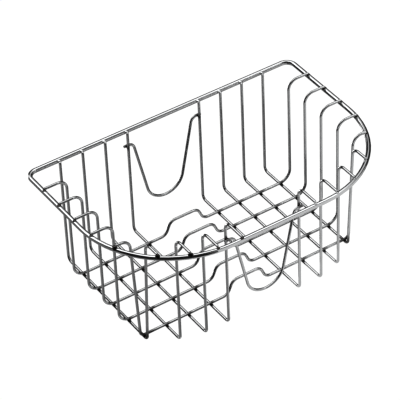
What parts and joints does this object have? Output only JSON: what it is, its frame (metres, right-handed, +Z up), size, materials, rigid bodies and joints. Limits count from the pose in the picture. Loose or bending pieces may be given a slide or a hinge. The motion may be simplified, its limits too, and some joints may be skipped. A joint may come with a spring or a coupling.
{
  "type": "hanging sink basket",
  "caption": "Chromed wire basket with a D-shaped rim that hangs on a sink's ledges; straight back, rounded front, open wire floor with a raised middle ridge.",
  "frame": {"origin": "under the middle of the rim, on the plane that the cross wires stand on", "axes": "+X along the straight back of the rim, +Y towards that back, +Z up"},
  "size_m": [0.39, 0.257, 0.1619],
  "materials": {
    "rim": "bright chrome plate on steel wire",
    "wire": "bright chrome plate on steel wire"
  },
  "bodies": {
    "root": {"rim_wire": "rim", "long_wire_1": "wire", "long_wire_2": "wire", "long_wire_3": "wire", "long_wire_4": "wire", "long_wire_5": "wire", "cross_wire_1": "wire", "cross_wire_2": "wire", "cross_wire_3": "wire", "cross_wire_4": "wire", "cross_wire_5": "wire", "cross_wire_6": "wire", "cross_wire_7": "wire", "cross_wire_8": "wire", "back_loop": "wire", "front_loop": "wire"}
  },
  "joints": []
}
